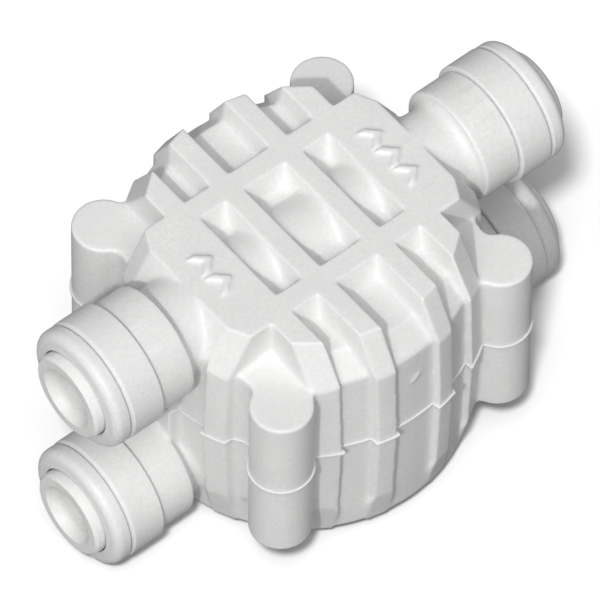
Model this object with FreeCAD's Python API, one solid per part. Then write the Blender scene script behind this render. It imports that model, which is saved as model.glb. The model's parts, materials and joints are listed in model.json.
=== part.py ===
"""Four-port diaphragm shut-off valve for 1/4 inch tube, modelled in millimetres.

X runs along the ports, with the inlets at -X and the outlets at +X. Z is up, and z = 0 is the
plane where the upper and lower housings meet. Both housings are ribbed alike, but the ribs of the
upper one end in a wide bevel, while those of the lower one run into a round rim at its foot.
"""
import FreeCAD, Part
import math
import os

os.makedirs("parts", exist_ok=True)

V = FreeCAD.Vector

# Housing, outside
TOP_Z = 17.9            # top face above the parting plane
WALL_Z = 12.2           # where the upright wall ends and the bevel starts
FLOOR_Z = 15.2          # floor of the pockets and slots between the ribs
RIB_R0 = 21.95          # rib radius at the parting plane
RIB_R1 = 21.5           # rib radius at WALL_Z
CORE_R0 = 20.9          # radius between the ribs at the parting plane
CORE_R1 = 20.65         # the same at WALL_Z
UPPER_ENDS = (18.5, 17.9)     # radius of the ribs at TOP_Z and of the core at FLOOR_Z, upper housing
LOWER_ENDS = (20.3, 20.4)     # the same in the lower housing
RIM_Z = 17.6            # round rim at the foot of the lower housing
RIM_R = 20.45
RIM_IN_R = 18.6
RIM_CHAMFER = 0.3
LEDGE_R = 16.0          # floor of the corner pockets, which falls gently from here to the posts
LEDGE_Z = 12.9
INNER_RIB = (3.15, 5.7)       # two ribs across the top, as a range of distance from x = 0
OUTER_RIB = (9.75, 12.7)
LONG_RIB = (7.1, 9.85)        # ribs along the top, as a range of distance from y = 0
PANEL_X = 17.1          # straight end of the top face over the ports
PANEL_WALL_X = 20.3
SIDE_FLARE = 0.8        # how far a cross rib's side leans out between top face and pocket floor
END_FLARE = 1.3         # the same for the sides of the ribs that run along the top
WALL_FLARE = 0.12       # what is left of the lean at the foot of the bevel and below
SINK = 0.2              # overlap of a flank with the solid under it
FAR = 30.0              # past the outside of the housing
OVER = 1.0              # how far a cut runs past the face it opens
INTO = 0.5              # how far a bore runs into the next one
FLASH_OUT = 0.24        # witness line where the housings meet
FLASH_H = 0.3
FLASH_STEPS = 3
SLICE_Z = 0.02          # height of the section that gives its outline
HUMP_R = 5.3            # flow tube where it shows in the pockets
HUMP_REACH = 17.0

# Raised marks: two chevrons by the inlets and three by the outlets
MARK_LENGTH = 2.6
MARK_WIDTH = 2.9
MARK_STROKE = 1.1
MARK_H = 0.4
MARK_ROWS = {-13.4: (-1.75, 1.75), 13.4: (-3.3, 0.0, 3.3)}
TICK_AT = (0.15, 0, 7.6)      # small moulding mark on the wall
TICK_SIZE = (1.4, 0.5, 0.34)
TICK_STAND = 0.1

# Corner posts and screws
POST_XY = 16.5
POST_R = 3.81
NECK_FILLET_R = 1.5
NECK_ROOT_X = 19.0
SCREW_R = 1.45
SCREW_HOLE_R = 1.6
SCREW_HEAD_R = 2.6
SCREW_HEAD_H = 1.9
SCREW_HEAD_EDGE = (0.6, 0.7)  # chamfer across and along the head
SCREW_HOLE_END = 0.6
SCREW_POCKET_R = 2.85
SCREW_POCKET_Z = 9.7
SCREW_TOP_Z = 8.6
SCREW_GAP = 0.02
CROSS_SIZE = (1.5, 0.35, 1.1)   # half length, half width and depth of the cross in a screw head

# Ports, measured as distance from x = 0 along the port axis
PORT_Z = 12.1
PASSAGE_R = 2.4
SOCKET_R = 3.3
SOCKET_STOP = 17.5
NECK_R = 5.85
NECK_START = 13.5
NECK_END = 22.0
WEB_BETWEEN_PORTS = (19.5, 2.6, 7.0)   # where it starts, half its width and its height
BACK_FILLET = 1.1
RING_R = 7.35
RING_END = 27.0
COLLAR_R = 7.93
COLLAR_END = 31.65
SPIGOT_R = 6.75
SPIGOT_END = 31.1
SEAL_BORE_R = 5.25
SEAL_BORE_START = 22.9
CAP_BORE_R = 6.0
CAP_BORE_START = 26.5
GROOVE_CHAMFER = 0.35
COLLAR_CHAMFER = 0.15
CAP_R = 7.85
CAP_END = 34.0
CAP_ROUND = 1.15
CAP_STEPS = 5
CAP_SLEEVE_R = 5.95
CAP_HEAD_R = 5.15
CAP_GUIDE_R = 4.36
LIP_RECESS_R = 5.72

# Collet
COLLET_R = 4.3
COLLET_BORE_R = 3.25
COLLET_MOUTH_R = 4.0
FUNNEL_DEPTH = 1.7
FUNNEL_STEPS = 6
COLLET_TIP = 35.3
LIP_R = 5.55
LIP_START = 33.5
LIP_CHAMFER = 0.35
COLLET_TRAVEL = 1.1
COLLET_SPARE = 0.1      # room left behind the lip when the collet is pushed in
LIP_RECESS_START = LIP_START - COLLET_TRAVEL - COLLET_SPARE
HEAD_R = 5.0
HEAD_START = 28.0
HEAD_END = 29.3
HEAD_CONE_END = 30.1
HEAD_ROOM = (0.3, 0.5)  # room before and after the cone of the collet's head
SLOT_W = 0.7
SLOT_END = 31.6
TOOTH_TIP_R = 3.1
TOOTH_ROOT_R = 4.4
TOOTH_EDGE = 0.3
TOOTH_A = 28.6
TOOTH_T = 0.35

# Tube seal
ORING_R = 4.2
ORING_SECTION_R = 0.98
ORING_A = 24.0
SPACER_RADII = (3.4, 5.22)
SPACER_START = 25.15
SPACER_END = 26.3

# Mechanism
CHAMBER_R = 14.5
CHAMBER_Z = 6.6
STACK_R = 18.2
PLATE_R = 18.15
SHEET_GAP = 0.05
PLATE_Z = 3.0
LARGE_T = 1.0
SMALL_T = 1.0
SMALL_R = 11.0
SMALL_OPEN_R = 8.4
FEED_CHAMBER_Z = 8.0
ROD_R = 2.5
ROD_BORE_R = 2.55
PLATE_HOLE_R = 1.6
PLATE_HOLE_RING_R = 13.2
PLATE_HOLE_FLOOR_Z = -1.6
PLATE_HOLES = 8
GROOVE_DEPTH = 0.45
LARGE_GROOVE = (11.0, 13.0)
SMALL_GROOVE = (5.9, 7.5)
DISC_R = 9.3
DISC_T = 1.16
DISC_RECESS_R = 9.8
DISC_RECESS_Z = 0.4
FOOT_R = 5.0
FOOT_RECESS_R = 5.4
FOOT_Z = -1.8
FOOT_ROOM = 0.2
PAD_R = 3.4
PAD_T = 1.0
SHUT_TRAVEL = 1.2
SEAT_R = 2.9
SEAT_BORE_R = 1.5
OUTLET_X = 5.7
OUTLET_R = 1.4
CENTRE_PASSAGE_R = 2.0
PEG_R = 1.5             # peg of the pressure disc on the plunger
PEG_H = 0.7
STEM_R = 1.2            # stem of the seat pad in the plunger
STEM_H = 0.8
STEM_GAP = 0.1
SMALL_CHAMFER = 0.3
RUNNING_GAP = 0.02
SEAT_RIM_W = 0.5
SEAT_TAPER = 0.9
WEB_X = (1.9, 3.9)      # wall that parts the two feed passages

PORTS = (
    ("in_upper", -1, 1),
    ("out_upper", 1, 1),
    ("in_lower", -1, -1),
    ("out_lower", 1, -1),
)


def cylinder(r, z0, z1, x=0.0, y=0.0):
    return Part.makeCylinder(r, z1 - z0, V(x, y, z0))


def box(x, y, z):
    return Part.makeBox(x[1] - x[0], y[1] - y[0], z[1] - z[0], V(x[0], y[0], z[0]))


def prism(points, direction):
    """Closed polygon of 3-D points, swept along a direction."""
    wire = Part.makePolygon([V(*p) for p in points] + [V(*points[0])])
    return Part.Face(wire).extrude(V(*direction))


def turned(profile):
    """Solid of revolution about Z from (radius, height) pairs."""
    wire = Part.makePolygon([V(r, 0, z) for r, z in profile + profile[:1]])
    return Part.Face(wire).revolve(V(0, 0, 0), V(0, 0, 1), 360)


def along_port(shape, side, level):
    """Places a shape built on +Z so that its axis is the port's, pointing outward."""
    placed = shape.copy()
    placed.rotate(V(0, 0, 0), V(0, 1, 0), 90 * side)
    placed.translate(V(0, 0, PORT_Z * level))
    return placed


def fuse(shapes):
    result = shapes[0].fuse(shapes[1:]) if len(shapes) > 1 else shapes[0]
    return result.removeSplitter()


def mirrored_z(shape):
    return shape.mirror(V(0, 0, 0), V(0, 0, 1))


def four_ways(x, y):
    return [(sx * x, sy * y) for sx in (1, -1) for sy in (1, -1)]


def beyond_plane(low, high):
    """Large block on the outside of the plane through the chord low and the chord high.

    Each chord is a pair of 3-D points. The block lies on the side away from the Z axis.
    """
    a, b = [V(*p) for p in high]
    c = (V(*low[0]) + V(*low[1])) * 0.5
    normal = (b - a).cross(c - a)
    normal.normalize()
    mid = (a + b) * 0.5
    if normal.dot(V(mid.x, mid.y, 0)) < 0:
        normal = normal * -1
    block = Part.makeBox(2 * FAR, 2 * FAR, 2 * FAR, V(-FAR, -FAR, 0))
    turn = FreeCAD.Rotation(V(0, 0, 1), normal)
    block.Placement = FreeCAD.Placement(mid, turn)
    return block


def on_circle(r, value):
    return math.sqrt(r * r - value * value)


# ---------------------------------------------------------------- housing, outside


def core(ends):
    return turned([(0, 0), (CORE_R0, 0), (CORE_R1, WALL_Z), (ends[1], FLOOR_Z), (0, FLOOR_Z)])


def rib_wall():
    """Upright outline of the ribs, carried up to the top face."""
    slope = (RIB_R0 - RIB_R1) / WALL_Z
    return turned([(0, 0), (RIB_R0, 0), (RIB_R0 - slope * TOP_Z, TOP_Z), (0, TOP_Z)])


def polyhedron(triangles):
    faces = [Part.Face(Part.makePolygon([V(*p) for p in t + t[:1]])) for t in triangles]
    solid = Part.makeSolid(Part.makeShell(faces))
    if solid.Volume < 0:
        solid.reverse()
    return solid


def flank(edge, away, ends):
    """Leaning side of a rib, from z = 0 over the bevel to the top face.

    The rib runs along +Y and its top edge is at x = edge; away is +1 or -1, the way it leans.
    """
    drop = TOP_Z - FLOOR_Z
    crest = [
        (0, TOP_Z + SINK),
        (on_circle(ends[0], edge) + SINK, TOP_Z + SINK),
        (on_circle(RIB_R1, edge) + SINK, WALL_Z),
        (on_circle(RIB_R0, edge) + SINK, 0),
    ]
    deep = SIDE_FLARE * (drop + SINK) / drop
    leans = [deep, deep, WALL_FLARE, WALL_FLARE]
    radii = [None, ends[1], CORE_R1, CORE_R0]
    heights = [FLOOR_Z - SINK, FLOOR_Z - SINK, WALL_Z, 0]
    root = []
    for lean, radius, z in zip(leans, radii, heights):
        x = edge + away * lean
        root.append((x, on_circle(radius, x) - SINK if radius else 0, z))
    outer = [[(edge, y, z) for y, z in crest], root]
    inner_x = edge - away * 2 * SINK
    inner = [[(inner_x, y, z) for _, y, z in line] for line in outer]
    triangles = []
    for top, foot in (outer, inner):
        for k in range(3):
            triangles += [[top[k], top[k + 1], foot[k]], [top[k + 1], foot[k + 1], foot[k]]]
    for line_out, line_in in zip(outer, inner):
        for k in range(3):
            triangles.append([line_out[k], line_out[k + 1], line_in[k]])
            triangles.append([line_out[k + 1], line_in[k + 1], line_in[k]])
    for k in (0, 3):
        triangles.append([outer[0][k], outer[1][k], inner[0][k]])
        triangles.append([outer[1][k], inner[1][k], inner[0][k]])
    return polyhedron(triangles)


def bevelled(rib, side, low, high, top_r, along_x):
    """Cuts the flat bevel on the end of a rib that lies between low and high."""
    chords = []
    for r, z in ((RIB_R1, WALL_Z), (top_r, TOP_Z)):
        ends = [(value, side * on_circle(r, value)) for value in (low, high)]
        chords.append([(b, a, z) if along_x else (a, b, z) for a, b in ends])
    return rib.cut(beyond_plane(*chords))


def cross_rib(low, high, leaning, ends):
    """One rib across the top, at +X. Leaning holds which of its sides lean out: -1, 1 or both."""
    rib = box((low, high), (-FAR, FAR), (0, TOP_Z))
    sides = [flank(low if away < 0 else high, away, ends) for away in leaning]
    sides += [f.mirror(V(0, 0, 0), V(0, 1, 0)) for f in sides]
    rib = fuse([rib] + sides).common(rib_wall())
    for side in (1, -1):
        rib = bevelled(rib, side, low, high, ends[0], False)
    return rib


def long_rib_ends(side, ends):
    """The rib along the top at +Y, from the outer cross rib over the port-side bevel."""
    low, high = LONG_RIB
    reach = (side * OUTER_RIB[0], side * FAR)
    rib = box((min(reach), max(reach)), (low, high), (0, TOP_Z)).common(rib_wall())
    return bevelled(rib, side, low, high, ends[0], True)


def long_rib_middle():
    """The rib along the top at +Y between the cross ribs, with both sides leaning out."""
    low, high = LONG_RIB
    section = [
        (low - END_FLARE, FLOOR_Z - SINK),
        (high + END_FLARE, FLOOR_Z - SINK),
        (high + END_FLARE, FLOOR_Z),
        (high, TOP_Z),
        (low, TOP_Z),
        (low - END_FLARE, FLOOR_Z),
    ]
    reach = OUTER_RIB[0] + OVER
    return prism([(-reach, y, z) for y, z in section], (2 * reach, 0, 0))


def port_panel(side):
    """Flat panel of the top face over one pair of ports."""
    half = LONG_RIB[0]
    block = box((OUTER_RIB[0], FAR), (-half, half), (0, TOP_Z))
    block = block.common(cylinder(CORE_R0 - 0.1, 0, TOP_Z))
    top = [(PANEL_X, y, TOP_Z) for y in (-half, half)]
    foot = [(PANEL_WALL_X, y, WALL_Z) for y in (-half, half)]
    block = block.cut(beyond_plane(foot, top))
    return block if side > 0 else block.mirror(V(0, 0, 0), V(1, 0, 0))


def hump():
    return Part.makeCylinder(HUMP_R, 2 * HUMP_REACH, V(-HUMP_REACH, 0, PORT_Z), V(1, 0, 0))


def corner_pocket():
    """Space over the corner by the post at +X and +Y, down to the pocket's floor."""
    space = box((OUTER_RIB[1], FAR), (LONG_RIB[1], FAR), (WALL_Z, TOP_Z + OVER))
    return space.cut(turned([(0, 0), (CORE_R1, 0), (CORE_R1, WALL_Z), (LEDGE_R, LEDGE_Z), (0, LEDGE_Z)]))


def foot_rim():
    """Round rim that carries the wall of the lower housing down to its foot."""
    return turned([
        (RIM_IN_R, WALL_Z - OVER),
        (CORE_R1 - RIM_CHAMFER, WALL_Z - OVER),
        (CORE_R1, WALL_Z),
        (RIM_R, RIM_Z - RIM_CHAMFER),
        (RIM_R - RIM_CHAMFER, RIM_Z),
        (RIM_IN_R, RIM_Z),
    ])


def post(x, y):
    """Corner post with its filleted neck."""
    centre = math.hypot(x, y)
    shaft = cylinder(POST_R, 0, WALL_Z, centre, 0)
    near = CORE_R0 + NECK_FILLET_R
    far = POST_R + NECK_FILLET_R
    d = (centre**2 + near**2 - far**2) / (2 * centre)
    t = math.sqrt(near**2 - d**2)
    on_core = (d * CORE_R1 / near, t * CORE_R1 / near)
    on_post = (centre + (d - centre) * POST_R / far, t * POST_R / far)
    half = [(NECK_ROOT_X, 0), on_core, (d, t), on_post]
    outline = half + [(centre, 0)] + [(a, -b) for a, b in reversed(half[1:])]
    neck = prism([(a, b, 0) for a, b in outline], (0, 0, WALL_Z))
    for s in (1, -1):
        neck = neck.cut(cylinder(NECK_FILLET_R, 0, WALL_Z, d, s * t))
    whole = shaft.fuse(neck)
    whole.rotate(V(0, 0, 0), V(0, 0, 1), math.degrees(math.atan2(y, x)))
    return whole


def port_tube():
    """Outside of one housing port, built on +Z from the body outward."""
    arc_mid = BACK_FILLET * (1 - math.sqrt(0.5))
    start = V(NECK_R, 0, NECK_END - BACK_FILLET)
    bend = V(NECK_R + arc_mid, 0, NECK_END - arc_mid)
    end = V(NECK_R + BACK_FILLET, 0, NECK_END)
    rest = [
        end,
        V(RING_R, 0, NECK_END),
        V(RING_R, 0, RING_END),
        V(SPIGOT_R, 0, RING_END),
        V(SPIGOT_R, 0, SPIGOT_END),
        V(0, 0, SPIGOT_END),
        V(0, 0, NECK_START),
        V(NECK_R, 0, NECK_START),
        start,
    ]
    edges = Part.makePolygon(rest).Edges + [Part.Arc(start, bend, end).toShape()]
    wire = Part.Wire(Part.__sortEdges__(edges))
    return Part.Face(wire).revolve(V(0, 0, 0), V(0, 0, 1), 360)


def port_web(side):
    """Rib on the wall that joins the upper and lower ports."""
    start, half, height = WEB_BETWEEN_PORTS
    reach = (side * start, side * NECK_END)
    return box((min(reach), max(reach)), (-half, half), (0, height))


def flow_marks():
    """Raised chevrons that point from inlet to outlet."""
    marks = []
    tip = MARK_LENGTH / 2
    half = MARK_WIDTH / 2
    notch = tip - MARK_STROKE
    outline = [(-tip, -half), (MARK_STROKE - tip, -half), (tip, 0)]
    outline += [(MARK_STROKE - tip, half), (-tip, half), (notch, 0)]
    for centre_x, rows in MARK_ROWS.items():
        for y in rows:
            points = [(centre_x + a, y + b, TOP_Z - SINK) for a, b in outline]
            marks.append(prism(points, (0, 0, MARK_H + SINK)))
    return marks


def wall_tick():
    """Small slanted moulding mark on the wall of the slot at -Y."""
    length, depth, width = TICK_SIZE
    y = -CORE_R0 - TICK_STAND
    tick = box((-length / 2, length / 2), (y, y + depth), (-width / 2, width / 2))
    tick.rotate(V(0, 0, 0), V(0, 1, 0), -45)
    tick.translate(V(*TICK_AT))
    return tick


def half_outside(ends):
    """Outside of one housing, above the parting plane."""
    parts = [core(ends), hump()]
    for (low, high), leaning in ((INNER_RIB, (-1, 1)), (OUTER_RIB, (-1,))):
        rib = cross_rib(low, high, leaning, ends)
        parts += [rib, rib.mirror(V(0, 0, 0), V(1, 0, 0))]
    middle = long_rib_middle()
    parts += [middle, middle.mirror(V(0, 0, 0), V(0, 1, 0))]
    for side in (1, -1):
        end = long_rib_ends(side, ends)
        parts += [end, end.mirror(V(0, 0, 0), V(0, 1, 0)), port_panel(side), port_web(side)]
        parts.append(along_port(port_tube(), side, 1))
    parts += [post(x, y) for x, y in four_ways(POST_XY, POST_XY)]
    return fuse(parts)


# ---------------------------------------------------------------- housing, inside


def port_bores():
    """Stepped bore of one port, built on +Z from the body outward."""
    return fuse([
        cylinder(SOCKET_R, SOCKET_STOP, SEAL_BORE_START + INTO),
        cylinder(SEAL_BORE_R, SEAL_BORE_START, CAP_BORE_START + INTO),
        cylinder(CAP_BORE_R, CAP_BORE_START, SPIGOT_END + OVER),
    ])


def passage(start, end, z):
    """Straight flow passage along X, from start to end."""
    return Part.makeCylinder(PASSAGE_R, end - start, V(start, 0, z), V(1, 0, 0))


def witness_line(outside):
    """Thin ridge round the outline of the lower housing at the parting plane."""
    outline = outside.slice(V(0, 0, 1), SLICE_Z)
    ridge = Part.Face(max(outline, key=lambda w: w.BoundBox.DiagonalLength))
    # grown in steps, because the short edges beside the posts vanish on the way
    for _ in range(FLASH_STEPS):
        ridge = ridge.makeOffset2D(FLASH_OUT / FLASH_STEPS).Faces[0]
    ridge.translate(V(0, 0, -SLICE_Z))
    return ridge.extrude(V(0, 0, FLASH_H))


def upper_housing():
    shape = half_outside(UPPER_ENDS)
    tools = [along_port(port_bores(), side, 1) for side in (1, -1)]
    pocket = corner_pocket()
    for turn_x, turn_y in four_ways(1, 1):
        tool = pocket if turn_x > 0 else pocket.mirror(V(0, 0, 0), V(1, 0, 0))
        tools.append(tool if turn_y > 0 else tool.mirror(V(0, 0, 0), V(0, 1, 0)))
    tools.append(passage(-SOCKET_STOP - INTO, SOCKET_STOP + INTO, PORT_Z))
    tools.append(cylinder(STACK_R, -OVER, PLATE_Z + LARGE_T))
    tools.append(cylinder(CHAMBER_R, 0, CHAMBER_Z))
    tools.append(cylinder(CENTRE_PASSAGE_R, CHAMBER_Z - INTO, PORT_Z))
    for x, y in four_ways(POST_XY, POST_XY):
        tools.append(cylinder(SCREW_R + SCREW_GAP, -OVER, SCREW_TOP_Z + SCREW_HOLE_END, x, y))
    for tool in tools:
        shape = shape.cut(tool)
    return fuse([shape, wall_tick()] + flow_marks())


def lower_housing():
    outside = fuse([half_outside(LOWER_ENDS), foot_rim()])
    shape = mirrored_z(fuse([outside, witness_line(outside)]))
    tools = [along_port(port_bores(), side, -1) for side in (1, -1)]
    tools.append(passage(-SOCKET_STOP - INTO, WEB_X[0], -PORT_Z))
    tools.append(passage(WEB_X[1], SOCKET_STOP + INTO, -PORT_Z))
    tools.append(cylinder(STACK_R, -PLATE_Z, OVER))
    tools.append(cylinder(SMALL_R + SHEET_GAP, -PLATE_Z - SMALL_T, -PLATE_Z + INTO))
    tools.append(cylinder(SMALL_OPEN_R, -FEED_CHAMBER_Z, -PLATE_Z))
    tools.append(cylinder(SEAT_R, -FEED_CHAMBER_Z - OVER, -FEED_CHAMBER_Z + INTO))
    tools.append(cylinder(SEAT_BORE_R, -PORT_Z, -FEED_CHAMBER_Z))
    tools.append(cylinder(OUTLET_R, -PORT_Z, -FEED_CHAMBER_Z + INTO, OUTLET_X))
    for x, y in four_ways(POST_XY, POST_XY):
        tools.append(cylinder(SCREW_HOLE_R, -WALL_Z - OVER, OVER, x, y))
        tools.append(cylinder(SCREW_POCKET_R, -WALL_Z - OVER, -SCREW_POCKET_Z, x, y))
    for tool in tools:
        shape = shape.cut(tool)
    return shape.removeSplitter()


# ---------------------------------------------------------------- mechanism


def centre_plate():
    shape = cylinder(PLATE_R, -PLATE_Z, PLATE_Z)
    shape = shape.cut(cylinder(DISC_RECESS_R, DISC_RECESS_Z, PLATE_Z + OVER))
    shape = shape.cut(cylinder(FOOT_RECESS_R, -PLATE_Z - OVER, FOOT_Z + FOOT_ROOM))
    shape = shape.cut(cylinder(ROD_BORE_R, -PLATE_Z - OVER, PLATE_Z + OVER))
    for k in range(PLATE_HOLES):
        angle = 2 * math.pi * (k + 0.5) / PLATE_HOLES
        x = PLATE_HOLE_RING_R * math.cos(angle)
        y = PLATE_HOLE_RING_R * math.sin(angle)
        shape = shape.cut(cylinder(PLATE_HOLE_R, PLATE_HOLE_FLOOR_Z, PLATE_Z + OVER, x, y))
    return shape


def ring_groove(radii, low, high):
    inner, outer = radii
    return turned([(inner, low), (outer, low), (outer, high), (inner, high)])


def large_diaphragm():
    base = PLATE_Z
    top = base + LARGE_T
    sheet = cylinder(STACK_R - SHEET_GAP, base, top)
    return sheet.cut(ring_groove(LARGE_GROOVE, top - GROOVE_DEPTH, top + OVER))


def small_diaphragm():
    top = -PLATE_Z
    sheet = cylinder(SMALL_R, top - SMALL_T, top)
    sheet = sheet.cut(cylinder(STEM_R + STEM_GAP, top - SMALL_T - OVER, top + OVER))
    low = top - SMALL_T
    return sheet.cut(ring_groove(SMALL_GROOVE, low - OVER, low + GROOVE_DEPTH))


def plunger():
    disc_low = PLATE_Z - RUNNING_GAP - DISC_T
    profile = [
        (0, -PLATE_Z + RUNNING_GAP),
        (FOOT_R, -PLATE_Z + RUNNING_GAP),
        (FOOT_R, FOOT_Z - SMALL_CHAMFER),
        (FOOT_R - SMALL_CHAMFER, FOOT_Z),
        (ROD_R, FOOT_Z),
        (ROD_R, disc_low),
        (PEG_R, disc_low),
        (PEG_R, disc_low + PEG_H),
        (0, disc_low + PEG_H),
    ]
    return turned(profile).cut(cylinder(STEM_R + RUNNING_GAP, -PLATE_Z - OVER, -PLATE_Z + STEM_H + STEM_GAP))


def pressure_disc():
    top = PLATE_Z - RUNNING_GAP
    low = top - DISC_T
    edge = [(DISC_R, low), (DISC_R, top - SMALL_CHAMFER), (DISC_R - SMALL_CHAMFER, top)]
    return turned([(0, low)] + edge + [(0, top)]).cut(cylinder(PEG_R, low - OVER, low + PEG_H))


def seat_pad():
    top = -PLATE_Z - SMALL_T - RUNNING_GAP
    low = -PLATE_Z - SMALL_T - PAD_T
    edge = [(PAD_R - SMALL_CHAMFER, low), (PAD_R, low + SMALL_CHAMFER), (PAD_R, top)]
    disc = turned([(0, low)] + edge + [(0, top)])
    return disc.fuse(cylinder(STEM_R, top, -PLATE_Z + STEM_H)).removeSplitter()


def feed_seat():
    """Nozzle that the seat pad closes on."""
    rim = -PLATE_Z - SMALL_T - PAD_T - SHUT_TRAVEL - RUNNING_GAP / 2
    foot = -FEED_CHAMBER_Z - OVER
    profile = [
        (SEAT_BORE_R, foot),
        (SEAT_R, foot),
        (SEAT_R, rim - SEAT_TAPER),
        (SEAT_BORE_R + SEAT_RIM_W, rim),
        (SEAT_BORE_R, rim),
    ]
    return turned(profile)


def housing_screws():
    """Four cross-head screws, driven from below."""
    shank = cylinder(SCREW_R, -SCREW_POCKET_Z, SCREW_TOP_Z)
    low = -SCREW_POCKET_Z - SCREW_HEAD_H
    across, along = SCREW_HEAD_EDGE
    head = turned([
        (0, low),
        (SCREW_HEAD_R - across, low),
        (SCREW_HEAD_R, low + along),
        (SCREW_HEAD_R, -SCREW_POCKET_Z),
        (0, -SCREW_POCKET_Z),
    ])
    screw = shank.fuse(head).removeSplitter()
    length, width, depth = CROSS_SIZE
    for a, b in ((length, width), (width, length)):
        screw = screw.cut(box((-a, a), (-b, b), (low - OVER, low + depth)))
    copies = []
    for x, y in four_ways(POST_XY, POST_XY):
        copy = screw.copy()
        copy.translate(V(x, y, 0))
        copies.append(copy)
    return Part.makeCompound(copies)


# ---------------------------------------------------------------- port pieces


def port_collar():
    """Sleeve that covers the end of the housing port."""
    return turned([
        (SPIGOT_R, RING_END),
        (COLLAR_R - COLLAR_CHAMFER, RING_END),
        (COLLAR_R, RING_END + COLLAR_CHAMFER),
        (COLLAR_R, COLLAR_END - GROOVE_CHAMFER),
        (COLLAR_R - GROOVE_CHAMFER, COLLAR_END),
        (CAP_SLEEVE_R, COLLAR_END),
        (CAP_SLEEVE_R, SPIGOT_END),
        (SPIGOT_R, SPIGOT_END),
    ])


def end_cap():
    """Rounded cap with the sleeve that guides the collet."""
    bead = []
    for k in range(CAP_STEPS + 1):
        angle = math.radians(90.0 * k / CAP_STEPS)
        bead.append((
            CAP_R - CAP_ROUND + CAP_ROUND * math.cos(angle),
            CAP_END - CAP_ROUND + CAP_ROUND * math.sin(angle),
        ))
    profile = [(CAP_SLEEVE_R, CAP_BORE_START), (CAP_SLEEVE_R, COLLAR_END)]
    profile += [(CAP_R - GROOVE_CHAMFER, COLLAR_END), (CAP_R, COLLAR_END + GROOVE_CHAMFER)]
    profile += bead
    profile += [
        (LIP_RECESS_R, CAP_END),
        (LIP_RECESS_R, LIP_RECESS_START),
        (CAP_GUIDE_R, LIP_RECESS_START),
        (CAP_GUIDE_R, HEAD_CONE_END + HEAD_ROOM[1]),
        (CAP_HEAD_R, HEAD_END + HEAD_ROOM[0]),
        (CAP_HEAD_R, CAP_BORE_START),
    ]
    return turned(profile)


def collet():
    """Release collet with four fingers."""
    profile = [
        (COLLET_BORE_R, HEAD_START),
        (HEAD_R, HEAD_START),
        (HEAD_R, HEAD_END),
        (COLLET_R, HEAD_CONE_END),
        (COLLET_R, LIP_START),
        (LIP_R, LIP_START),
        (LIP_R, COLLET_TIP - LIP_CHAMFER),
        (LIP_R - LIP_CHAMFER, COLLET_TIP),
    ]
    for k in range(FUNNEL_STEPS + 1):
        share = k / FUNNEL_STEPS
        r = COLLET_BORE_R + (COLLET_MOUTH_R - COLLET_BORE_R) * (1 - share) ** 2
        profile.append((r, COLLET_TIP - FUNNEL_DEPTH * share))
    shape = turned(profile)
    for angle in (0, 90):
        slot = box((-SPIGOT_R, SPIGOT_R), (-SLOT_W / 2, SLOT_W / 2), (HEAD_START - OVER, SLOT_END))
        slot.rotate(V(0, 0, 0), V(0, 0, 1), angle + 45)
        shape = shape.cut(slot)
    groove = turned([
        (COLLET_BORE_R - INTO, TOOTH_A),
        (TOOTH_ROOT_R, TOOTH_A),
        (TOOTH_ROOT_R, TOOTH_A + TOOTH_T),
        (COLLET_BORE_R - INTO, TOOTH_A + TOOTH_T),
    ])
    return shape.cut(groove)


def collet_teeth():
    """Steel blades that grip the tube, one in each finger."""
    ring = turned([
        (TOOTH_TIP_R, TOOTH_A),
        (TOOTH_ROOT_R, TOOTH_A),
        (TOOTH_ROOT_R, TOOTH_A + TOOTH_T),
        (TOOTH_TIP_R + TOOTH_EDGE, TOOTH_A + TOOTH_T),
    ])
    for angle in (45, 135):
        gap = box((-SPIGOT_R, SPIGOT_R), (-SLOT_W, SLOT_W), (TOOTH_A - OVER, TOOTH_A + OVER))
        gap.rotate(V(0, 0, 0), V(0, 0, 1), angle)
        ring = ring.cut(gap)
    return ring


def tube_oring():
    ring = Part.makeTorus(ORING_R, ORING_SECTION_R)
    ring.translate(V(0, 0, ORING_A))
    return ring


def spacer_ring():
    return turned([
        (SPACER_RADII[0], SPACER_START),
        (SPACER_RADII[1], SPACER_START),
        (SPACER_RADII[1], SPACER_END),
        (SPACER_RADII[0], SPACER_END),
    ])


def export(name, shape):
    shape.exportStep("parts/" + name + ".step")


NODES = {
    "upper_housing": upper_housing,
    "lower_housing": lower_housing,
    "centre_plate": centre_plate,
    "large_diaphragm": large_diaphragm,
    "small_diaphragm": small_diaphragm,
    "plunger": plunger,
    "pressure_disc": pressure_disc,
    "seat_pad": seat_pad,
    "feed_seat": feed_seat,
    "housing_screws": housing_screws,
}

PORT_NODES = {
    "port_collar": port_collar,
    "end_cap": end_cap,
    "collet": collet,
    "collet_teeth": collet_teeth,
    "tube_oring": tube_oring,
    "spacer_ring": spacer_ring,
}

for node, build in NODES.items():
    export(node, build())

for kind, build in PORT_NODES.items():
    piece = build()
    for port, side, level in PORTS:
        export(kind + "_" + port, along_port(piece, side, level))
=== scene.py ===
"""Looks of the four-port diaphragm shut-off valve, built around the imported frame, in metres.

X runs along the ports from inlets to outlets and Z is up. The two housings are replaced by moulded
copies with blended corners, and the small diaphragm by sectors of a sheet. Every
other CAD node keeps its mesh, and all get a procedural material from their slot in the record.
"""
import json
import math

import bmesh
import bpy
import numpy as np
from mathutils import Matrix, Vector


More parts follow.
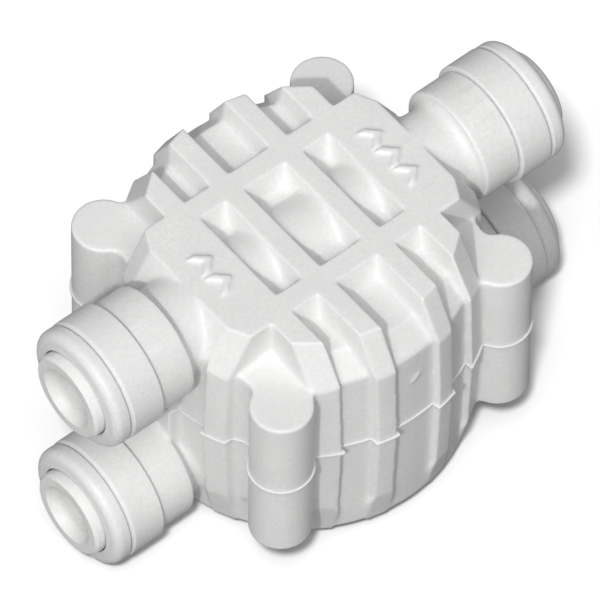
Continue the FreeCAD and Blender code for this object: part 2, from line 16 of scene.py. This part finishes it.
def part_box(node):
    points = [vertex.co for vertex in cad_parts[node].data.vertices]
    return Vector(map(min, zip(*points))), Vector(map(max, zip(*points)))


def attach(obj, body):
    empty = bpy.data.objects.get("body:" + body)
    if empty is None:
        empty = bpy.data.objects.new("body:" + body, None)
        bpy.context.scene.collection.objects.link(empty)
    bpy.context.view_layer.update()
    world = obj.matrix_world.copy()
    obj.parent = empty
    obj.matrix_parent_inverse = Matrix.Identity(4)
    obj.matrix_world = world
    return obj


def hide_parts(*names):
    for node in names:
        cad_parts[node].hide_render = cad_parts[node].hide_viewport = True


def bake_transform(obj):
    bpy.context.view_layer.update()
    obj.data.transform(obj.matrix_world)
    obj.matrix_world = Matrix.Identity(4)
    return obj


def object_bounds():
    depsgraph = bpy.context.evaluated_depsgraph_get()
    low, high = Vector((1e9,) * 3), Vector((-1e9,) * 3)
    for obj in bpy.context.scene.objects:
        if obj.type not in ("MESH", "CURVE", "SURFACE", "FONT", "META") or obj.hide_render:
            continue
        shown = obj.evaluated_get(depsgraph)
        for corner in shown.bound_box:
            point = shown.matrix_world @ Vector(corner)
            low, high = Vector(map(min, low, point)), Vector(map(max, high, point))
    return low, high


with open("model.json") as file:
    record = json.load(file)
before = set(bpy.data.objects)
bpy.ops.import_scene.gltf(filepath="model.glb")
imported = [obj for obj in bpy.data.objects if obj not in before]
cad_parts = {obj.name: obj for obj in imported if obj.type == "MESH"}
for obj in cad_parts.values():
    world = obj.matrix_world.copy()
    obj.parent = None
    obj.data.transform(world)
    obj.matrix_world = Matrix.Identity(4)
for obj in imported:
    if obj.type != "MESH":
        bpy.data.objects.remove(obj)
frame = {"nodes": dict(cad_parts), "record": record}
cad_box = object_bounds()

MM = 0.001

# Camera: angles in degrees, the sensor in millimetres, the rest in metres or as a share of the frame
CAMERA_AZIMUTH = -39.86
CAMERA_ELEVATION = 54.9
CAMERA_ROLL = 0.79
CAMERA_DISTANCE = 1.5986
CAMERA_SENSOR = 36
FRAME_WIDTH_AT_ORIGIN = 0.07053
CAMERA_SHIFT = (-0.002, 0.0034)
CAMERA_CLIP = (0.1, 10)

# Shader helpers: samples taken at each point, and where each mask starts and is full
BEVEL_SAMPLES = 6
CREVICE_SAMPLES = 8
EDGE_MASK = (0.98, 0.8)           # cosine between the rounded normal and the true one
CREVICE_MASK = (0.75, 0.2)        # share of the surroundings that is open
SPOT_CORE = 0.6                   # share of a spot's radius inside which the spot is full

# Tones as shares of the base tone: mottling, dust with painted shade in the corners, and spots on plastic,
# stains on steel
MOTTLE_TONE = 0.93
DUST_AND_SHADE_TONE = 0.8
SPOT_TONE = 0.55
STAIN_TONE = 0.62

# Plastic: how strong the streaks and spots are, how far the pale edge (wear and painted highlight) reaches
# past an edge, light under the surface
STREAK_SHARE = 0.35
SPOT_SHARE = 0.12
WEAR_AND_HIGHLIGHT_REACH = 2.2                  # as a multiple of the edge's radius
SCATTER = 0.12

# Moulded housings, in millimetres
VOXEL = 0.17
BLEND_STEPS = 36         # rounds of smoothing that fill the inside corners
BLEND_RATE = 0.5
EDGE_STEPS = 7           # rounds that soften the outside a little
NORMALS_EVERY = 6        # rounds between one reading of the normals and the next
MARK_TOP = 17.6          # above this both kinds of round are weaker, so that the raised marks stay clear
MARK_SHARE = 0.2
MARK_EDGE_GAIN = 2       # edge rounds over the marks, as a multiple of the share above
STACK_SPACE = (18.7, 9.0)         # radius and height of the space for the diaphragms
BORE_SPACE = ((17.4, 3.5), (22.5, 5.6), (26.6, 6.9))   # port bore: up to this x, inside this radius
POST_SPACE = (3.1, 11.9)          # radius and height of the screw hole in a post
SCREW_HEAD_R = 2.6
RIDGE_H = 0.3            # witness line, on top of the lower housing
SPARE_H = 1.0            # how far a housing is lengthened past its joint face while it is remeshed
WELD = 0.001             # points closer than this are one
CLEAR_OF_FACE = 2 * WELD  # a cut beside a flat face keeps this far inside it
FACES_KEPT = 170_000     # triangles in one housing
SHARP_ANGLE = 50         # in degrees

# Small diaphragm, in millimetres: a sheet between the shuttle's foot and its clamped rim
SHEET_SECTORS = 12       # each a closed wedge, and neighbours meet on their shared edge
SECTOR_STEPS = 4
SHEET_RADII = (1.3, 3.0, 5.0, 5.4, 5.9, 6.2, 6.5, 6.7, 6.9, 7.2, 7.5, 7.9, 8.3, 9.5, 11.0)
SHEET_GROOVE = (5.9, 7.5, 0.45)   # from, to and depth, on the underside

# Light: where each lamp stands as (azimuth from +X, elevation) in degrees, its strength and its spread
LAMPS = {
    "key": (213, 45, 1.45, 3),
    "soft_box": (228, 50, 1.98, 80),
    "fill": (55, 20, 0.22, 60),
}
# These light the floor only: one for the close shadow and one for the haze round the foot
FLOOR_LAMPS = {
    "floor_near": (222, 59.8, 2.3, 6),
    "floor_wide": (225, 66, 0.95, 30),
}
SKY_STRENGTH = 0.21

# Floor: a flat sheet that turns up into a low wall all round
FLOOR_GAP = 0.05 * MM
FLOOR_RADIUS = 3.0
SWEEP_RADIUS = 0.6
WALL_HEIGHT = 0.9
FLOOR_RINGS = 4
SWEEP_STEPS = 8
FLOOR_SIDES = 96
FLOOR_WELD = 0.1 * MM


def placed(name, data):
    """New object in the scene that holds the data given."""
    holder = bpy.data.objects.new(name, data)
    bpy.context.scene.collection.objects.link(holder)
    return holder


def as_mesh(made, name):
    """Mesh with the points and faces of a bmesh, which is used up."""
    mesh = bpy.data.meshes.new(name)
    made.to_mesh(mesh)
    made.free()
    return mesh


# ---------------------------------------------------------------- shader helpers


class Shader:
    """Node tree of one material, with short calls for the nodes that the finishes share."""

    def __init__(self, name):
        self.material = bpy.data.materials.new(name)
        self.material.use_nodes = True
        self.tree = self.material.node_tree
        self.surface = self.tree.nodes["Principled BSDF"]
        self.place = self.node("ShaderNodeTexCoord").outputs["Object"]

    def node(self, kind, **settings):
        made = self.tree.nodes.new(kind)
        for key, value in settings.items():
            setattr(made, key, value)
        return made

    def link(self, source, target):
        self.tree.links.new(source, target)

    def put(self, socket, value):
        """Links a socket to another, or sets its value."""
        if isinstance(value, bpy.types.NodeSocket):
            self.link(value, socket)
        else:
            socket.default_value = value

    def scaled_place(self, stretch=(1, 1, 1)):
        node = self.node("ShaderNodeMapping")
        self.link(self.place, node.inputs["Vector"])
        node.inputs["Scale"].default_value = stretch
        return node.outputs["Vector"]

    def noise(self, size_mm, detail=3.0, roughness=0.55, stretch=(1, 1, 1)):
        """Noise from 0 to 1 whose blobs are about size_mm across."""
        node = self.node("ShaderNodeTexNoise")
        self.link(self.scaled_place(stretch), node.inputs["Vector"])
        node.inputs["Scale"].default_value = 1 / (size_mm * MM)
        node.inputs["Detail"].default_value = detail
        node.inputs["Roughness"].default_value = roughness
        return node.outputs["Fac"]

    def speckle(self, size_mm, share):
        """Small separate spots, 1 inside a spot and 0 elsewhere."""
        node = self.node("ShaderNodeTexVoronoi")
        self.link(self.place, node.inputs["Vector"])
        node.inputs["Scale"].default_value = 1 / (size_mm * MM)
        node.inputs["Randomness"].default_value = 1.0
        return self.remap(node.outputs["Distance"], share, share * SPOT_CORE, 0, 1)

    def remap(self, value, low, high, to_low, to_high):
        node = self.node("ShaderNodeMapRange", clamp=True)
        self.link(value, node.inputs["Value"])
        for name, number in (("From Min", low), ("From Max", high), ("To Min", to_low), ("To Max", to_high)):
            node.inputs[name].default_value = number
        return node.outputs["Result"]

    def math(self, operation, a, b=0.0):
        node = self.node("ShaderNodeMath", operation=operation)
        self.put(node.inputs[0], a)
        self.put(node.inputs[1], b)
        return node.outputs["Value"]

    def mix(self, share, a, b):
        node = self.node("ShaderNodeMix", data_type="RGBA")
        self.put(node.inputs["Factor"], share)
        for name, colour in (("A", a), ("B", b)):
            socket = [s for s in node.inputs if s.name == name and s.type == "RGBA"][0]
            self.put(socket, colour if isinstance(colour, bpy.types.NodeSocket) else (*colour, 1))
        return [s for s in node.outputs if s.type == "RGBA"][0]

    def soft_edges(self, radius_mm):
        node = self.node("ShaderNodeBevel", samples=BEVEL_SAMPLES)
        node.inputs["Radius"].default_value = radius_mm * MM
        return node.outputs["Normal"]

    def edge_mask(self, radius_mm):
        """1 on sharp edges, 0 on open faces, from how far the rounded normal leans away."""
        wide = self.soft_edges(radius_mm)
        flat = self.node("ShaderNodeNewGeometry").outputs["Normal"]
        dot = self.node("ShaderNodeVectorMath", operation="DOT_PRODUCT")
        self.link(wide, dot.inputs[0])
        self.link(flat, dot.inputs[1])
        return self.remap(dot.outputs["Value"], *EDGE_MASK, 0, 1)

    def crevice(self, reach_mm):
        """1 deep in a corner, 0 in the open."""
        node = self.node("ShaderNodeAmbientOcclusion", samples=CREVICE_SAMPLES)
        node.inputs["Distance"].default_value = reach_mm * MM
        return self.remap(node.outputs["AO"], *CREVICE_MASK, 0, 1)

    def bump(self, height, distance_mm, normal=None):
        node = self.node("ShaderNodeBump")
        node.inputs["Distance"].default_value = distance_mm * MM
        self.link(height, node.inputs["Height"])
        if normal is not None:
            self.link(normal, node.inputs["Normal"])
        return node.outputs["Normal"]

    def finish(self, colour, roughness, normal, **uniform):
        self.put(self.surface.inputs["Base Color"], colour)
        self.put(self.surface.inputs["Roughness"], roughness)
        self.link(normal, self.surface.inputs["Normal"])
        for name, value in uniform.items():
            self.surface.inputs[name.replace("_", " ")].default_value = value
        return self.material


# ---------------------------------------------------------------- finishes


def darker(colour, tone):
    return tuple(tone * c for c in colour)


def moulded_plastic(name, colour, shade, wear_and_highlight, grain=1.0, soft=0.12):
    """Satin moulded plastic: fine grain, faint flow streaks, pale edges from wear and a painted highlight,
    and dust with painted shade in the corners.
    """
    s = Shader(name)
    cloud = s.remap(s.noise(9.0, detail=4), 0.35, 0.65, 0, 1)
    streak = s.remap(s.noise(2.6, detail=5, stretch=(0.25, 1, 1)), 0.4, 0.7, 0, 1)
    body = s.mix(cloud, colour, shade)
    body = s.mix(s.math("MULTIPLY", streak, STREAK_SHARE), body, shade)
    mottle = s.remap(s.noise(0.45, detail=4, roughness=0.7), 0.35, 0.65, 0, 0.8)
    body = s.mix(mottle, body, darker(shade, MOTTLE_TONE))
    # dust with painted shade: darker deep in corners and recesses, made patchy by noise
    dust_and_shade = s.math("MULTIPLY", s.crevice(1.6), s.remap(s.noise(1.2), 0.3, 0.7, 0.25, 0.75))
    body = s.mix(dust_and_shade, body, darker(shade, DUST_AND_SHADE_TONE))
    spot = s.math("MULTIPLY", s.speckle(2.4, 0.09), SPOT_SHARE)
    body = s.mix(spot, body, darker(shade, SPOT_TONE))
    patchy = s.remap(s.noise(1.7), 0.3, 0.65, 0.1, 0.7)
    # pale edges: partly wear, partly a painted highlight along every edge
    worn_and_lit_edges = s.math("MULTIPLY", s.edge_mask(soft * WEAR_AND_HIGHLIGHT_REACH), patchy)
    body = s.mix(worn_and_lit_edges, body, wear_and_highlight)
    roughness = s.remap(s.noise(0.8, detail=4), 0.3, 0.7, 0.36, 0.5)
    wavy = s.bump(s.noise(5.0, detail=1), 0.03, s.soft_edges(soft))
    fine = s.bump(s.noise(0.22, detail=3, roughness=0.65), 0.016 * grain, wavy)
    s.surface.inputs["Subsurface Radius"].default_value = (1.0, 0.92, 0.85)
    return s.finish(
        body, roughness, fine, Subsurface_Weight=SCATTER, Subsurface_Scale=1.2 * MM, IOR=1.48,
        Specular_IOR_Level=0.45)


def black_rubber(name):
    """Matt moulded rubber with a faint bloom and a painted highlight along its edges."""
    s = Shader(name)
    bloom = s.remap(s.noise(2.0, detail=5), 0.45, 0.75, 0, 0.5)
    colour = s.mix(bloom, (0.018, 0.018, 0.019), (0.06, 0.06, 0.06))
    # painted highlight: lighter grey along every edge
    colour = s.mix(s.edge_mask(0.2), colour, (0.09, 0.09, 0.09))
    roughness = s.remap(s.noise(0.6), 0.3, 0.7, 0.55, 0.78)
    grain = s.bump(s.noise(0.12, detail=3), 0.01, s.soft_edges(0.1))
    return s.finish(colour, roughness, grain, Specular_IOR_Level=0.4)


def stainless(name, brush, colour):
    """Steel with fine drawn lines along one axis, dull stains and a painted highlight along its edges."""
    s = Shader(name)
    lines = s.noise(0.25, detail=3, stretch=brush)
    stain = s.remap(s.noise(1.4, detail=4), 0.5, 0.75, 0, 0.5)
    tint = s.mix(stain, colour, darker(colour, STAIN_TONE))
    # painted highlight: paler along every edge
    tint = s.mix(s.edge_mask(0.12), tint, (0.82, 0.82, 0.82))
    roughness = s.remap(lines, 0.3, 0.7, 0.22, 0.42)
    cut = s.bump(lines, 0.006, s.soft_edges(0.06))
    return s.finish(tint, roughness, cut, Metallic=1.0)


def finishes():
    """One material for each slot in the record."""
    white, grey, bright = (0.80, 0.80, 0.79), (0.745, 0.745, 0.74), (0.88, 0.88, 0.875)
    return {
        "housing": moulded_plastic("housing_plastic", white, grey, bright),
        "collar": moulded_plastic("collar_plastic", white, grey, bright, soft=0.1),
        "cap": moulded_plastic("cap_plastic", (0.82, 0.82, 0.815), grey, bright, grain=0.7, soft=0.1),
        "collet": moulded_plastic(
            "collet_plastic", (0.84, 0.84, 0.83), (0.79, 0.79, 0.78), bright, grain=0.5, soft=0.08),
        "plate": moulded_plastic("plate_plastic", (0.74, 0.74, 0.71), (0.66, 0.66, 0.63), bright),
        "plunger": moulded_plastic(
            "plunger_plastic", (0.06, 0.16, 0.38), (0.045, 0.12, 0.3), (0.16, 0.3, 0.55)),
        "seat": moulded_plastic("seat_plastic", (0.78, 0.78, 0.75), (0.7, 0.7, 0.68), bright, grain=0.4),
        "spacer": moulded_plastic("spacer_plastic", (0.7, 0.7, 0.67), (0.62, 0.62, 0.6), bright),
        "rubber": black_rubber("black_rubber"),
        "screw_steel": stainless("screw_steel", (1, 1, 0.08), (0.56, 0.56, 0.55)),
        "tooth_steel": stainless("tooth_steel", (1, 0.08, 1), (0.6, 0.6, 0.6)),
    }


def dress_cad_nodes(made):
    for part in frame["record"]["subparts"]:
        piece = frame["nodes"][part["node"]]
        for held in piece.material_slots:
            held.material = made[part["material_slot"]]


# ---------------------------------------------------------------- moulded housings


def through(mesh, kind, **settings):
    """Mesh after one modifier. The mesh given is used up."""
    holder = placed("work", mesh)
    modifier = holder.modifiers.new("step", kind)
    for key, value in settings.items():
        setattr(modifier, key, value)
    graph = bpy.context.evaluated_depsgraph_get()
    result = bpy.data.meshes.new_from_object(holder.evaluated_get(graph))
    bpy.data.objects.remove(holder)
    bpy.data.meshes.remove(mesh)
    return result


def cut_and_closed(made, level, side):
    """Cuts a mesh at a height, keeps the side away from the joint and closes it.

    Returns the points of the cut's rim.
    """
    cut = bmesh.ops.bisect_plane(
        made, geom=made.verts[:] + made.edges[:] + made.faces[:], dist=WELD * MM,
        plane_co=(0, 0, level), plane_no=(0, 0, -side), clear_outer=True)
    rim = [g for g in cut["geom_cut"] if isinstance(g, bmesh.types.BMEdge)]
    bmesh.ops.triangle_fill(made, use_beauty=True, edges=rim, normal=(0, 0, -side))
    return {v for edge in rim for v in edge.verts}


def outside_share(x, y, z):
    """1 on the outside of a housing and 0 on its bores and holes. All in millimetres."""
    x, y, z = abs(x), abs(y), abs(z)
    radius, height = STACK_SPACE
    share = np.where((np.hypot(x, y) < radius) & (z < height), 0.0, 1.0)
    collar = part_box("port_collar_in_upper")
    from_axis = np.hypot(y, z - (collar[0].z + collar[1].z) / 2 / MM)
    start = 0.0
    for end, bore in BORE_SPACE:
        share = np.where((x >= start) & (x < end) & (from_axis < bore), 0.0, share)
        start = end
    share = np.where(x >= start, 0.0, share)
    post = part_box("housing_screws")[1].x / MM - SCREW_HEAD_R
    radius, height = POST_SPACE
    share = np.where((np.hypot(x - post, y - post) < radius) & (z < height), 0.0, share)
    return np.where(z > MARK_TOP, share * MARK_SHARE, share)


def vectors(source, name, count):
    """One row of three numbers for each item of a mesh."""
    values = np.empty(count * 3)
    source.foreach_get(name, values)
    return values.reshape(-1, 3)


def blended(mesh):
    """Fills the inside corners, by smoothing that only moves points outward, then softens the edges."""
    count = len(mesh.vertices)
    places = vectors(mesh.vertices, "co", count)
    share = outside_share(*(places / MM).T)[:, None]
    ends = np.empty(len(mesh.edges) * 2, int)
    mesh.edges.foreach_get("vertices", ends)
    a, b = ends[0::2], ends[1::2]
    links = np.bincount(ends, minlength=count)[:, None]
    for step in range(BLEND_STEPS + EDGE_STEPS):
        if step % NORMALS_EVERY == 0:
            mesh.vertices.foreach_set("co", places.ravel())
            mesh.update()
            normals = vectors(mesh.vertex_normals, "vector", count)
        near = np.stack([
            np.bincount(a, places[b, axis], count) + np.bincount(b, places[a, axis], count)
            for axis in range(3)
        ], axis=1)
        pull = near / links - places
        outward = np.sum(pull * normals, axis=1, keepdims=True)
        if step < BLEND_STEPS:
            places += BLEND_RATE * share * np.maximum(outward, 0) * normals
        else:
            places += BLEND_RATE * np.minimum(MARK_EDGE_GAIN * share, 1) * pull
    mesh.vertices.foreach_set("co", places.ravel())
    mesh.update()
    return mesh


def welded(source):
    made = bmesh.new()
    made.from_mesh(source)
    bmesh.ops.remove_doubles(made, verts=made.verts, dist=WELD * MM)
    return made


def add_ridge(made, source, level):
    """Adds the ridge on the joint face as the CAD mesh has it, because it is finer than the remeshing."""
    ridge = welded(source)
    cut_and_closed(ridge, level + CLEAR_OF_FACE * MM, 1)
    plate = as_mesh(ridge, "ridge")
    made.from_mesh(plate)
    bpy.data.meshes.remove(plate)


def shade_with_sharp_edges(made):
    made.normal_update()
    for face in made.faces:
        face.smooth = True
        face.material_index = 0
    for edge in made.edges:
        edge.smooth = edge.calc_face_angle(math.pi) < math.radians(SHARP_ANGLE)


def moulded_housing(node, material):
    """Stands in for a housing: inside corners blended, outside edges softened, bores left alone."""
    source = frame["nodes"][node].data
    side = 1 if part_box(node)[1].z > MM else -1
    level = 0.0 if side > 0 else -RIDGE_H * MM
    made = welded(source)
    for point in cut_and_closed(made, level + side * CLEAR_OF_FACE * MM, side):
        point.co.z -= side * SPARE_H * MM
    mesh = as_mesh(made, node + "_moulded")
    mesh = through(mesh, "REMESH", mode="VOXEL", voxel_size=VOXEL * MM, adaptivity=0)
    mesh = blended(mesh)
    triangles = 2 * len(mesh.polygons)
    mesh = through(mesh, "DECIMATE", ratio=min(1.0, FACES_KEPT / triangles))
    made = bmesh.new()
    made.from_mesh(mesh)
    cut_and_closed(made, level, side)
    if side < 0:
        add_ridge(made, source, level)
    shade_with_sharp_edges(made)
    made.to_mesh(mesh)
    made.free()
    mesh.name = node + "_moulded"
    mesh.materials.clear()
    mesh.materials.append(material)
    piece = placed(node + "_moulded", mesh)
    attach(piece, "housing")
    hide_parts(node)


# ---------------------------------------------------------------- small diaphragm


def sheet_sector(low, high, middle):
    """Closed wedge of the sheet round one direction, with the groove in its underside."""
    start, end, depth = SHEET_GROOVE
    made = bmesh.new()
    layers = []
    for upper in (True, False):
        rows = []
        for r in SHEET_RADII:
            share = min(max((r - start) / (end - start), 0), 1)
            z = high if upper else low + depth * MM * math.sin(math.pi * share)
            row = []
            for k in range(SECTOR_STEPS + 1):
                turn = middle + math.tau / SHEET_SECTORS * (k / SECTOR_STEPS - 0.5)
                row.append(made.verts.new((r * MM * math.cos(turn), r * MM * math.sin(turn), z)))
            rows.append(row)
        layers.append(rows)
    top, foot = layers
    for rows in layers:
        for a, b in zip(rows, rows[1:]):
            for k in range(SECTOR_STEPS):
                made.faces.new((a[k], a[k + 1], b[k + 1], b[k]))
    for i in (0, -1):
        for k in range(SECTOR_STEPS):
            made.faces.new((top[i][k], top[i][k + 1], foot[i][k + 1], foot[i][k]))
        for a, b in zip(range(len(SHEET_RADII)), range(1, len(SHEET_RADII))):
            made.faces.new((top[a][i], top[b][i], foot[b][i], foot[a][i]))
    bmesh.ops.recalc_face_normals(made, faces=made.faces)
    return made


def bending_diaphragm(material):
    """The small diaphragm as sectors of a sheet, in place of the CAD node."""
    node = "small_diaphragm"
    low, high = (corner.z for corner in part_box(node))
    for number in range(SHEET_SECTORS):
        middle = math.tau * number / SHEET_SECTORS
        mesh = as_mesh(sheet_sector(low, high, middle), f"{node}_{number + 1:02d}")
        mesh.materials.append(material)
        piece = placed(mesh.name, mesh)
        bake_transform(piece)
        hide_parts(node)


# ---------------------------------------------------------------- stage


def floor_outline():
    """Half section of the floor and its wall, as (distance from the centre, height above the floor)."""
    points = [(FLOOR_RADIUS * k / FLOOR_RINGS, 0.0) for k in range(FLOOR_RINGS + 1)]
    for k in range(1, SWEEP_STEPS + 1):
        turn = math.radians(90 * k / SWEEP_STEPS)
        points.append((FLOOR_RADIUS + SWEEP_RADIUS * math.sin(turn), SWEEP_RADIUS * (1 - math.cos(turn))))
    return points + [(FLOOR_RADIUS + SWEEP_RADIUS, SWEEP_RADIUS + WALL_HEIGHT)]


def pale_floor():
    """Pale sheet just under the object, swept up into a wall far away on every side."""
    low = cad_box[0].z - FLOOR_GAP
    made = bmesh.new()
    profile = [made.verts.new((r, 0, low + z)) for r, z in floor_outline()]
    lines = [made.edges.new(pair) for pair in zip(profile, profile[1:])]
    bmesh.ops.spin(
        made, geom=profile + lines, axis=(0, 0, 1), cent=(0, 0, 0), angle=math.tau, steps=FLOOR_SIDES)
    bmesh.ops.remove_doubles(made, verts=made.verts, dist=FLOOR_WELD)
    bmesh.ops.recalc_face_normals(made, faces=made.faces)
    mesh = as_mesh(made, "floor")
    mesh.shade_smooth()
    floor = placed("floor", mesh)
    s = Shader("floor_paper")
    tone = s.mix(s.noise(40.0, detail=3), (0.93, 0.93, 0.93), (0.95, 0.95, 0.95))
    mesh.materials.append(s.finish(tone, 0.9, s.bump(s.noise(0.5), 0.01), Specular_IOR_Level=0.1))
    # the sheet throws no light back, which would wash out the walls and undersides
    floor.visible_diffuse = False
    floor.visible_glossy = False
    return floor


def lit_group(name, lamps, things, state):
    """Lamps that light only the things given, or all but them."""
    group = bpy.data.collections.new(name)
    for thing in things:
        group.objects.link(thing)
    for link in group.collection_objects:
        link.light_linking.link_state = state
    for holder in lamps:
        holder.light_linking.receiver_collection = group


def lamp(name, azimuth, elevation, strength, spread):
    data = bpy.data.lights.new(name, "SUN")
    data.energy = strength
    data.angle = math.radians(spread)
    a, e = math.radians(azimuth), math.radians(elevation)
    towards = Vector((math.cos(a) * math.cos(e), math.sin(a) * math.cos(e), math.sin(e)))
    holder = placed(name, data)
    holder.rotation_euler = towards.to_track_quat("Z", "Y").to_euler()
    holder.location = towards
    return holder


def studio_light(floor):
    lamps = [lamp(name, *values) for name, values in LAMPS.items()]
    lit_group("all_but_floor", lamps, [floor], "EXCLUDE")
    lamps = [lamp(name, *values) for name, values in FLOOR_LAMPS.items()]
    lit_group("floor_only", lamps, [floor], "INCLUDE")
    world = bpy.data.worlds.new("studio")
    world.use_nodes = True
    sky = world.node_tree.nodes["Background"]
    sky.inputs["Color"].default_value = (1, 1, 1, 1)
    sky.inputs["Strength"].default_value = SKY_STRENGTH
    bpy.context.scene.world = world
    bpy.context.scene.view_settings.view_transform = "Standard"


def camera():
    data = bpy.data.cameras.new("camera")
    data.sensor_width = CAMERA_SENSOR
    data.lens = data.sensor_width * CAMERA_DISTANCE / FRAME_WIDTH_AT_ORIGIN
    data.shift_x, data.shift_y = CAMERA_SHIFT
    data.clip_start, data.clip_end = CAMERA_CLIP
    holder = placed("camera", data)
    a, e = math.radians(CAMERA_AZIMUTH), math.radians(CAMERA_ELEVATION)
    back = Vector((math.sin(a) * math.cos(e), -math.cos(a) * math.cos(e), math.sin(e)))
    turn = back.to_track_quat("Z", "Y") @ Matrix.Rotation(math.radians(CAMERA_ROLL), 3, "Z").to_quaternion()
    holder.rotation_euler = turn.to_euler()
    holder.location = back * CAMERA_DISTANCE
    bpy.context.scene.camera = holder


made_finishes = finishes()
dress_cad_nodes(made_finishes)
for housing in ("upper_housing", "lower_housing"):
    moulded_housing(housing, made_finishes["housing"])
bending_diaphragm(made_finishes["rubber"])
studio_light(pale_floor())
camera()
